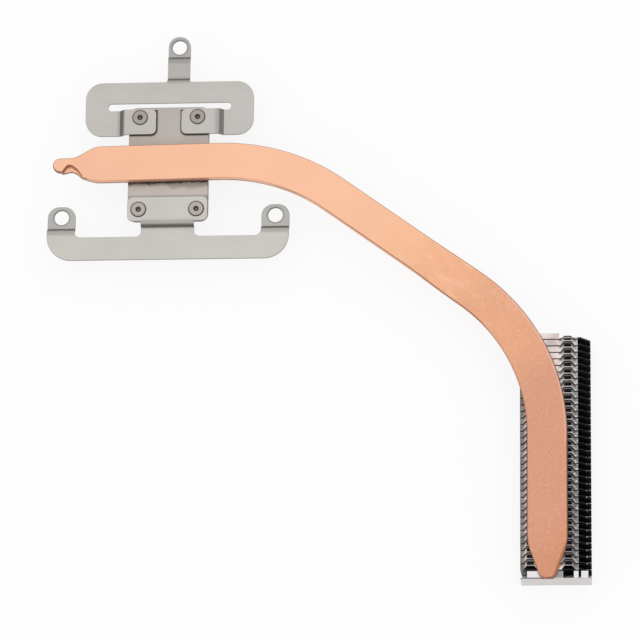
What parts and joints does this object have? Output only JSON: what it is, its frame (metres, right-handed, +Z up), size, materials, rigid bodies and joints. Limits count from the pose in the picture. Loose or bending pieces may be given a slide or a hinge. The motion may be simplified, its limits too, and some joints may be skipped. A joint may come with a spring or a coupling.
{
  "type": "console heatsink",
  "caption": "Flat-pipe heatsink: a cold plate with staked spring brackets, a flattened bent copper heat pipe and a stack of interlocking folded fins.",
  "frame": {"origin": "centre of the cold plate's underside, the face that presses on the chip", "axes": "+Z up out of the cold plate, away from the chip; +X along the plate's short side, the way the heat pipe leaves it; +Y along the plate's long side, away from the fin stack"},
  "size_m": [0.0821, 0.085, 0.0065],
  "materials": {
    "copper": "satin bare copper",
    "plate_metal": "satin plated",
    "spring_steel": "satin stamped",
    "fin_metal": "satin folded",
    "end_plate_metal": "bright folded"
  },
  "bodies": {
    "root": {"base_plate": "plate_metal", "heat_pipe": "copper", "upper_bracket": "spring_steel", "lower_bracket": "spring_steel", "end_plate": "end_plate_metal", "fin_01": "fin_metal", "fin_02": "fin_metal", "fin_03": "fin_metal", "fin_04": "fin_metal", "fin_05": "fin_metal", "fin_06": "fin_metal", "fin_07": "fin_metal", "fin_08": "fin_metal", "fin_09": "fin_metal", "fin_10": "fin_metal", "fin_11": "fin_metal", "fin_12": "fin_metal", "fin_13": "fin_metal", "fin_14": "fin_metal", "fin_15": "fin_metal", "fin_16": "fin_metal", "fin_17": "fin_metal", "fin_18": "fin_metal", "fin_19": "fin_metal", "fin_20": "fin_metal", "fin_21": "fin_metal", "fin_22": "fin_metal", "fin_23": "fin_metal", "fin_24": "fin_metal", "fin_25": "fin_metal", "fin_26": "fin_metal", "fin_27": "fin_metal", "fin_28": "fin_metal", "fin_29": "fin_metal", "fin_30": "fin_metal", "fin_31": "fin_metal", "fin_32": "fin_metal", "fin_33": "fin_metal", "fin_34": "fin_metal", "fin_35": "fin_metal", "fin_36": "fin_metal"}
  },
  "joints": []
}
